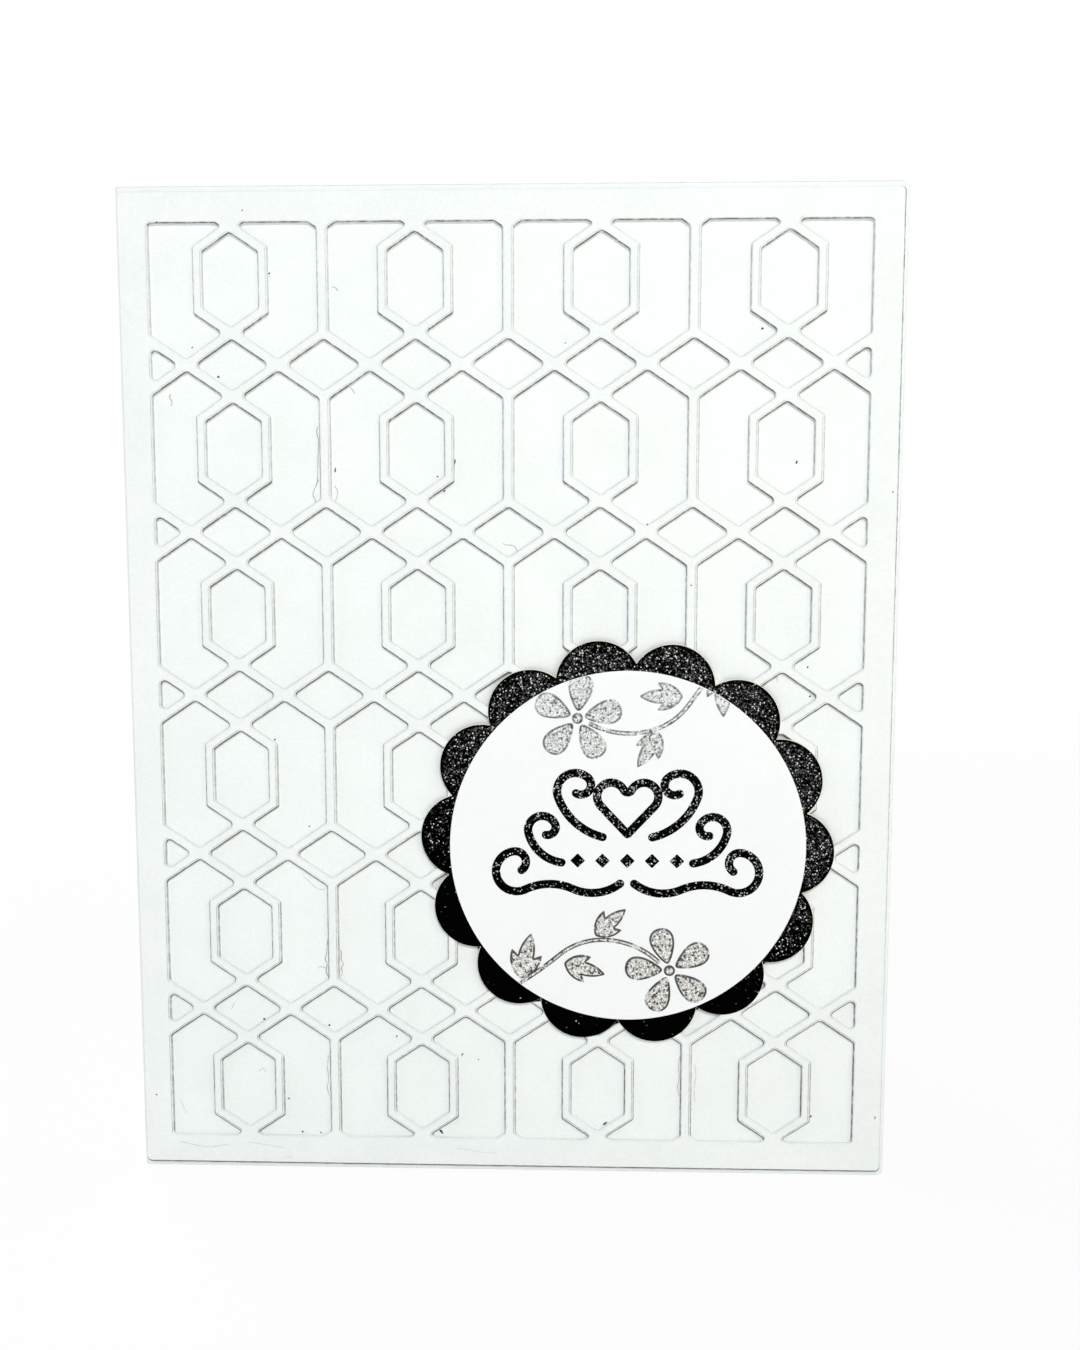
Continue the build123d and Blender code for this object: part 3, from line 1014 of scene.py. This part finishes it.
SHEET_RIM = [
    (0, 0.07, 1, 1, 0), (0.02, 0.03, 0.6, 1, 0), (0.05, 0.008, 0, 1, 0), (0.18, 0, 0, 1, 0),
    (0.62, 0, 0, 0, 0),
]
cut_sheet("glitter_scallops", scalloped_outline(), [], SCALLOP_BACK, SCALLOP_FRONT, (SHEET_RIM,),
          "scalloped_circle", black_glitter_card, foot=-0.07)

# %% [markdown]
# ## White disc
# A plain circle of the same white card, cut cleanly, with only a soft shoulder at its edge.

# %% Round disc
DISC_RADIUS = 25.1
outward = ray(full_turn(240))
cut_sheet("white_disc", (DISC_MIDDLE + DISC_RADIUS * outward, outward), [], DISC_BACK, DISC_FRONT,
          (SHEET_RIM,), "round_disc", disc_card)

# %% [markdown]
# ## The black ornament
# A heart outline, a row of small diamonds and three pairs of curls are raised 0.15 mm above the
# disc and carry the same painted sparkle as the scalloped card. The curls and the heart's lobes are
# arcs that touch, so their strokes have no kinks. The left half mirrors the right half.

# %% Lines of the heart and the curls
STROKE = 1.2
CURLS = [
    ((3.5, 1.5), 14, [(9.0, 56), (2.6, 150), (1.4, 170)]),
    ((9.3, -2.2), 8, [(5.6, 68), (2.0, 165), (1.15, 130)]),
    ((1.0, -5.2), -38, [(6.5, 62), (8.0, -50), (2.9, 200), (1.5, 150)]),
]
LOBE_RADIUS = 2.6
LOBE_ACROSS = 2.3
HEART_DROP = 5.8
HEART_UP = 7.3
STRAIGHT_STEPS = 30


def mirrored(points, headings):
    """The same line on the other side of the disc's upright middle line."""
    return points * [-1, 1], math.pi - headings


def heart_line():
    """Middle line of the heart's stroke, half a stroke inside its outline: straight from the lowest
    point until it touches the right lobe, round the lobe, and down into the dip between both."""
    inner = LOBE_RADIUS - STROKE / 2
    lobe = np.array([LOBE_ACROSS, 0.0])
    gap = lobe + [0.0, HEART_DROP]
    lean = math.atan2(gap[1], gap[0])
    lean = lean - math.asin((LOBE_RADIUS - STROKE / 4) / np.linalg.norm(gap))
    touching = lobe + inner * right_of(lean)
    bottom = touching - ray(lean) * touching[0] / math.cos(lean)
    dip = math.atan2(math.sqrt(LOBE_RADIUS**2 - LOBE_ACROSS**2), -LOBE_ACROSS)
    share = np.linspace(0, 1, STRAIGHT_STEPS)[:, None]
    straight = bottom + share * (touching - bottom)
    round_turn = math.degrees(dip + math.pi / 2 - lean)
    arc, arc_headings = tangent_arcs(touching, math.degrees(lean), [(inner, round_turn)])
    into_dip = [(STROKE / 2, -math.degrees(dip - math.pi / 2))]
    end, end_headings = tangent_arcs(arc[-1], math.degrees(arc_headings[-1]), into_dip, 0.05)
    points = np.concatenate([straight, arc[1:], end[1:]]) + [0, HEART_UP]
    on_straight = np.full(STRAIGHT_STEPS, lean)
    print("heart side", round(path_length(straight)[-1], 2), "mm, lobe turns", round(round_turn, 1))
    return points, np.concatenate([on_straight, arc_headings[1:], end_headings[1:]])


right_lines = [tangent_arcs(*curl) for curl in CURLS] + [heart_line()]
left_lines = [mirrored(*line) for line in right_lines]

# %% Ornament
ORNAMENT_HEIGHT = 0.15
DIAMOND_RADIUS = 1.05
DIAMOND_CORNER, DIAMOND_SPACING = 0.12, 0.25
DIAMOND_PITCH = 3.5
DIAMOND_UP = -1.9
DIAMOND_STEEPNESS = 1.8


def joined(name, surfaces, keys, node, material):
    """One piece from many surfaces: each is its points, its faces and a row of numbers per key."""
    points, faces, *numbers = zip(*surfaces)
    starts = np.cumsum([0] + [len(part) for part in points])
    faces = [part + start for part, start in zip(faces, starts)]
    build(name, points, faces, node, material, dict(zip(keys, numbers)))


surfaces = []
for turn_over, lines in ((False, right_lines), (True, left_lines)):
    for points, headings in lines:
        placed = points + DISC_MIDDLE
        corners, rows, depth = raised_stroke(placed, headings, STROKE, ORNAMENT_HEIGHT, DISC_FRONT)
        surfaces.append((corners, rows[:, ::-1] if turn_over else rows, depth))
outline = rounded_outline(sides * DIAMOND_RADIUS, DIAMOND_CORNER)
outline, _ = spaced(*outline, DIAMOND_SPACING)
share = np.linspace(0, 1, 7)
# A diamond's sides rise as a quarter sine that is over before its middle, so its top is flat.
rise = np.sin(np.minimum(share * DIAMOND_STEEPNESS, 1) * math.pi / 2) * ORNAMENT_HEIGHT
for number in range(-2, 3):
    middle = DISC_MIDDLE + [number * DIAMOND_PITCH, DIAMOND_UP]
    flat = outline[None] * (1 - share)[:, None, None] + middle
    rows = ring_faces(len(outline), len(share))
    corners = to_scene(flat, DISC_FRONT + rise[:, None])
    surfaces.append((corners, rows, np.repeat(share, len(outline))))
# The ornament gets the same painted sparkle as the scallops
black_relief = glitter("black_relief", 0.18, sparse=0.10, dense=0.34)
joined("raised_ornament", surfaces, ["depth"], "black_ornament", black_relief)

# %% [markdown]
# ## Silver sprigs
# Petals and leaves are low cushions. Each is filled from a point inside it to its outline, and
# rises within a tenth of a millimetre of the edge. Every point keeps its depth inside the outline,
# so the finish can draw the fine dark line that runs round each shape.

# %% Cushions for petals and leaves
SHOULDER = 0.12
PETAL_FULLNESS = 0.45
PETAL_PEAK = 1.084
LOBE_BULGE = 0.17
SIDE_LOBE = 29.0
LOBES = ((0.0, 1.0), (SIDE_LOBE, 0.66), (-SIDE_LOBE, 0.66))


def cushion(outline, middle, height, base, rings=9):
    """Rings shrink from the outline to the middle. A point's depth is its distance to the nearest
    outline point, and its height is the total height times a quarter sine of that depth."""
    share = 1 - np.linspace(0, 1, rings) ** 1.6
    flat = (middle + share[:, None, None] * (outline - middle)[None]).reshape(-1, 2)
    depth = np.sqrt(((flat[:, None, :] - outline[None]) ** 2).sum(2)).min(1)
    rise = height * np.sin(np.minimum(depth / SHOULDER, 1) * math.pi / 2)
    return flat, ring_faces(len(outline), rings), depth, base + rise


def petal_outline(root, length, width, steps=72):
    """An egg with its narrow end at the root: the half width is a sine of the way round, made
    fuller towards the tip by one minus 0.45 times the cosine, over that product's peak."""
    cos, sin = ray(full_turn(steps)).T
    aside = -width / 2 / PETAL_PEAK * sin * (1 - PETAL_FULLNESS * cos)
    return np.stack([root + length * (1 - cos) / 2, aside], 1)


def leaf_outline(heading, length, steps=96):
    """A leaf of three pointed lobes that leave one root. Seen from the root, a lobe reaches twice
    its arc's radius times the sine of the angle left to its side, and the longest lobe counts."""
    half_angle = 2 * math.atan(2 * LOBE_BULGE)
    widest = math.radians(SIDE_LOBE) + half_angle
    angle = np.linspace(-widest, widest, steps)[1:-1]
    reach = np.zeros(len(angle))
    for turn, share in LOBES:
        left = np.maximum(half_angle - np.abs(angle - math.radians(turn)), 0)
        radius = share * length / (2 * math.sin(half_angle))
        reach = np.maximum(reach, 2 * radius * np.sin(left))
    return reach[:, None] * ray(angle + math.radians(heading))


print("a leaf of length 1 is", round(float(np.ptp(leaf_outline(0, 1.0)[:, 1])), 2), "wide")

# %% [markdown]
# The print is a speckled silver grey. Low on the medallion it is warmer, with more dark dashes and
# a firm dark line, and at the top it is cooler and softer. A fine noise gives the speckles, a
# coarser one the dashes, and the depth value the line. All of that is colour: it can't be felt.

# %% Silver print finish
PALE = ((0.88, 0.85, 0.82, 1), (0.84, 0.87, 0.87, 1))
MIDDLE = ((0.37, 0.345, 0.33, 1), (0.45, 0.455, 0.46, 1))
DARK = ((0.035, 0.032, 0.03, 1), (0.15, 0.15, 0.155, 1))
LINE_BLACK = (0.010, 0.010, 0.011, 1)
LINE_WIDTH = (0.27, 0.33)
SPECKLE_SIZE, DASH_SIZE, LINE_BREAK, TOP_BREAK = 0.24, 0.34, 1.6, 0.9
PRINT_GRAIN, PRINT_DEPTH = 0.18, 0.02


def silver_print(name, low, high):
    """Finely mottled grey print with a few dark dashes, which gather at the petals' roots, and a
    dark line along the outline that breaks up. From height low to height high the grey gets cooler,
    the dashes rarer and the line fainter."""
    ink = Finish(name)
    up = ink.part_of(ink.place(), "Z").ramp(low, high)
    root = ink.attribute("root")
    mottle = (ink.noise(SPECKLE_SIZE, 2.0, 0.7) - 0.5).ramp(-0.07, 0.07)
    dashes = (ink.noise(DASH_SIZE, 1.0) - 0.415 - 0.09 * root + 0.04 * up).ramp(-0.02, 0.02)
    mottled = ink.blend(mottle, ink.blend(up, *MIDDLE), ink.blend(up, *PALE))
    body = ink.blend(dashes, ink.blend(up, *DARK), mottled)
    line = 1 - ink.attribute("depth").ramp(*LINE_WIDTH)
    line = line * ink.noise(LINE_BREAK, 3.0).ramp(0.38, 0.46)
    gaps = 0.5 - 0.5 * ink.noise(TOP_BREAK, 2.0).ramp(0.42, 0.52)
    line = line * (1 - up.ramp(0.35, 0.75) * gaps)
    colour = ink.blend(line * (1.0 - 0.35 * up), body, LINE_BLACK)
    relief = ink.bump(ink.noise(PRINT_GRAIN, 2.0), PRINT_DEPTH)
    return ink.finish(Base_Color=colour, Roughness=0.60 - 0.15 * mottle, Normal=relief)


medallion_low, medallion_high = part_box("scalloped_circle")
silver = silver_print("silver_print", medallion_low.z, medallion_high.z)
print(silver.name, "has", len(silver.node_tree.nodes), "nodes")

# %% [markdown]
# A sprig is drawn once, about the middle of its flower: five petals round a small button, a bent
# stem, and three leaves. The second sprig is the same one turned round. Whatever would reach past
# the disc is pulled back to its edge, as the print is cut off there.

# %% Two sprigs
SPRIG_HEIGHT = 0.1
PETALS, PETAL_TURN = 5, 32.3
PETAL_ROOT, PETAL_LENGTH, PETAL_WIDTH, PETAL_MIDDLE = 1.05, 5.3, 3.5, 4.4
ROOT_FADE = 2.2
BUTTON_RADIUS = 0.8
# The stem's start and heading, and the radius and turn of its arcs
STEM = ((-1.6, 1.3), 137, [(11.6, 43), (9.5, 40), (60.0, -7)])
STEM_WIDTH, STEM_DEPTH = 0.65, 1.5
# Each leaf: foot, heading and length
LEAVES = [((-10.6, 5.0), 42.0, 5.9), ((-15.0, 1.0), -16.0, 6.1), ((-21.2, -1.4), 77.0, 6.9)]
LEAF_INSIDE = 0.3
# Each sprig: middle and turn
SPRIGS = [((6.1, -17.8), 0.0), ((-7.1, 18.4), 195.7)]
PRINT_LIMIT = DISC_RADIUS - 0.1


def sprig(middle, turn):
    """All the surfaces of one sprig, kept within the disc's edge."""
    made = []

    def add(flat, rows, depth, height, root=None):
        """Turns and places a surface, pulls points past the limit back to it, and leaves out faces
        that lay wholly past it and the points that no face uses."""
        root = np.zeros(len(flat)) if root is None else root
        placed = turned_by(flat, turn) + middle
        away = np.linalg.norm(placed, axis=1)
        over = away > PRINT_LIMIT
        placed[over] *= (PRINT_LIMIT / away[over])[:, None]
        height = np.where(over, DISC_FRONT, height)
        rows = rows[~over[rows].all(axis=1)]
        if len(rows):
            used, rows = np.unique(rows, return_inverse=True)
            corners = to_scene(placed[used] + DISC_MIDDLE, height[used])
            made.append((corners, rows.reshape(-1, 4), depth[used], root[used]))

    petal = petal_outline(PETAL_ROOT, PETAL_LENGTH, PETAL_WIDTH)
    flat, rows, depth, height = cushion(petal, [PETAL_MIDDLE, 0.0], SPRIG_HEIGHT, DISC_FRONT)
    root = 1 - share_of(flat[:, 0] - PETAL_ROOT, ROOT_FADE)
    for number in range(PETALS):
        add(turned_by(flat, PETAL_TURN + number * 360 / PETALS), rows, depth, height, root)
    button = BUTTON_RADIUS * ray(full_turn(28))
    add(*cushion(button, [0.0, 0.0], SPRIG_HEIGHT, DISC_FRONT, 7))
    for foot, heading, length in LEAVES:
        inner = ray(math.radians(heading)) * length * LEAF_INSIDE
        leaf = leaf_outline(heading, length)
        flat, rows, depth, height = cushion(leaf, inner, SPRIG_HEIGHT, DISC_FRONT)
        add(flat + foot, rows, depth, height)
    points, headings = tangent_arcs(*STEM, step=0.25)
    corners, rows, depth = raised_stroke(points, headings, STEM_WIDTH, SPRIG_HEIGHT, 0.0)
    flat = np.stack([corners[:, 0], corners[:, 2] - PANEL_UP], 1) / MM
    add(flat, rows, depth * STEM_DEPTH, DISC_FRONT + (LEAF_FACE - corners[:, 1]) / MM)
    return made


surfaces = [surface for middle, turn in SPRIGS for surface in sprig(middle, turn)]
joined("silver_sprigs", surfaces, ["depth", "root"], "flower_sprigs", silver)

# %% [markdown]
# ## Floor and background
# The floor catches the card's shadow. For the camera, for mirrors and for clear pieces it is mixed
# with plain white, and the world is plain white for them too, so the card stands on white paper.

# %% Floor and world
FLOOR_COLOUR = (0.92, 0.92, 0.92, 1)
FLOOR_REACH = 3.0
WHITE_NEAR = 0.93
WHITE_FROM, WHITE_TO = 0.10, 0.55
SKY_COLOUR = (0.98, 0.97, 0.965, 1)
SKY_STRENGTH = 0.42


def white_when_seen(shading, lit, strength):
    """Mixes plain white over a shader for rays from the camera, mirrors and clear pieces. The
    strength is a number, or a wire where it changes over the surface."""
    seen = shading.node("ShaderNodeLightPath", output="Is Camera Ray")
    for kind in ("Is Glossy Ray", "Is Transmission Ray"):
        seen = seen | shading.node("ShaderNodeLightPath", output=kind)
    white = shading.node("ShaderNodeEmission", None, {"Color": (1, 1, 1, 1)})
    mixed = shading.node("ShaderNodeMixShader", None, {0: seen * strength, 1: lit, 2: white})
    shading.plug(shading.output.inputs["Surface"], mixed)


pale_floor = Finish("pale_floor")
pale_floor.finish(Base_Color=FLOOR_COLOUR, Roughness=0.9)
place = pale_floor.place()
away = pale_floor.node("ShaderNodeVectorMath", {"operation": "LENGTH"}, {0: place}, "Value")
floor_white = WHITE_NEAR + (1 - WHITE_NEAR) * away.ramp(WHITE_FROM, WHITE_TO)
white_when_seen(pale_floor, pale_floor.shader, floor_white)
floor_mesh = bpy.data.meshes.new("floor")
floor_corners = [(x * FLOOR_REACH, y * FLOOR_REACH, 0.0) for x, y in SQUARE.tolist()]
floor_mesh.from_pydata(floor_corners, [], [(0, 1, 2, 3)])
floor_mesh.materials.append(pale_floor.material)
floor = put_in_scene("floor", floor_mesh)

world = bpy.data.worlds.new("studio")
bpy.context.scene.world = world
sky = Shading(world, "ShaderNodeOutputWorld")
sky_light = {"Color": SKY_COLOUR, "Strength": SKY_STRENGTH}
white_when_seen(sky, sky.node("ShaderNodeBackground", None, sky_light), 1.0)
bpy.context.scene.view_settings.view_transform = "Standard"
print("floor and world are white for the camera")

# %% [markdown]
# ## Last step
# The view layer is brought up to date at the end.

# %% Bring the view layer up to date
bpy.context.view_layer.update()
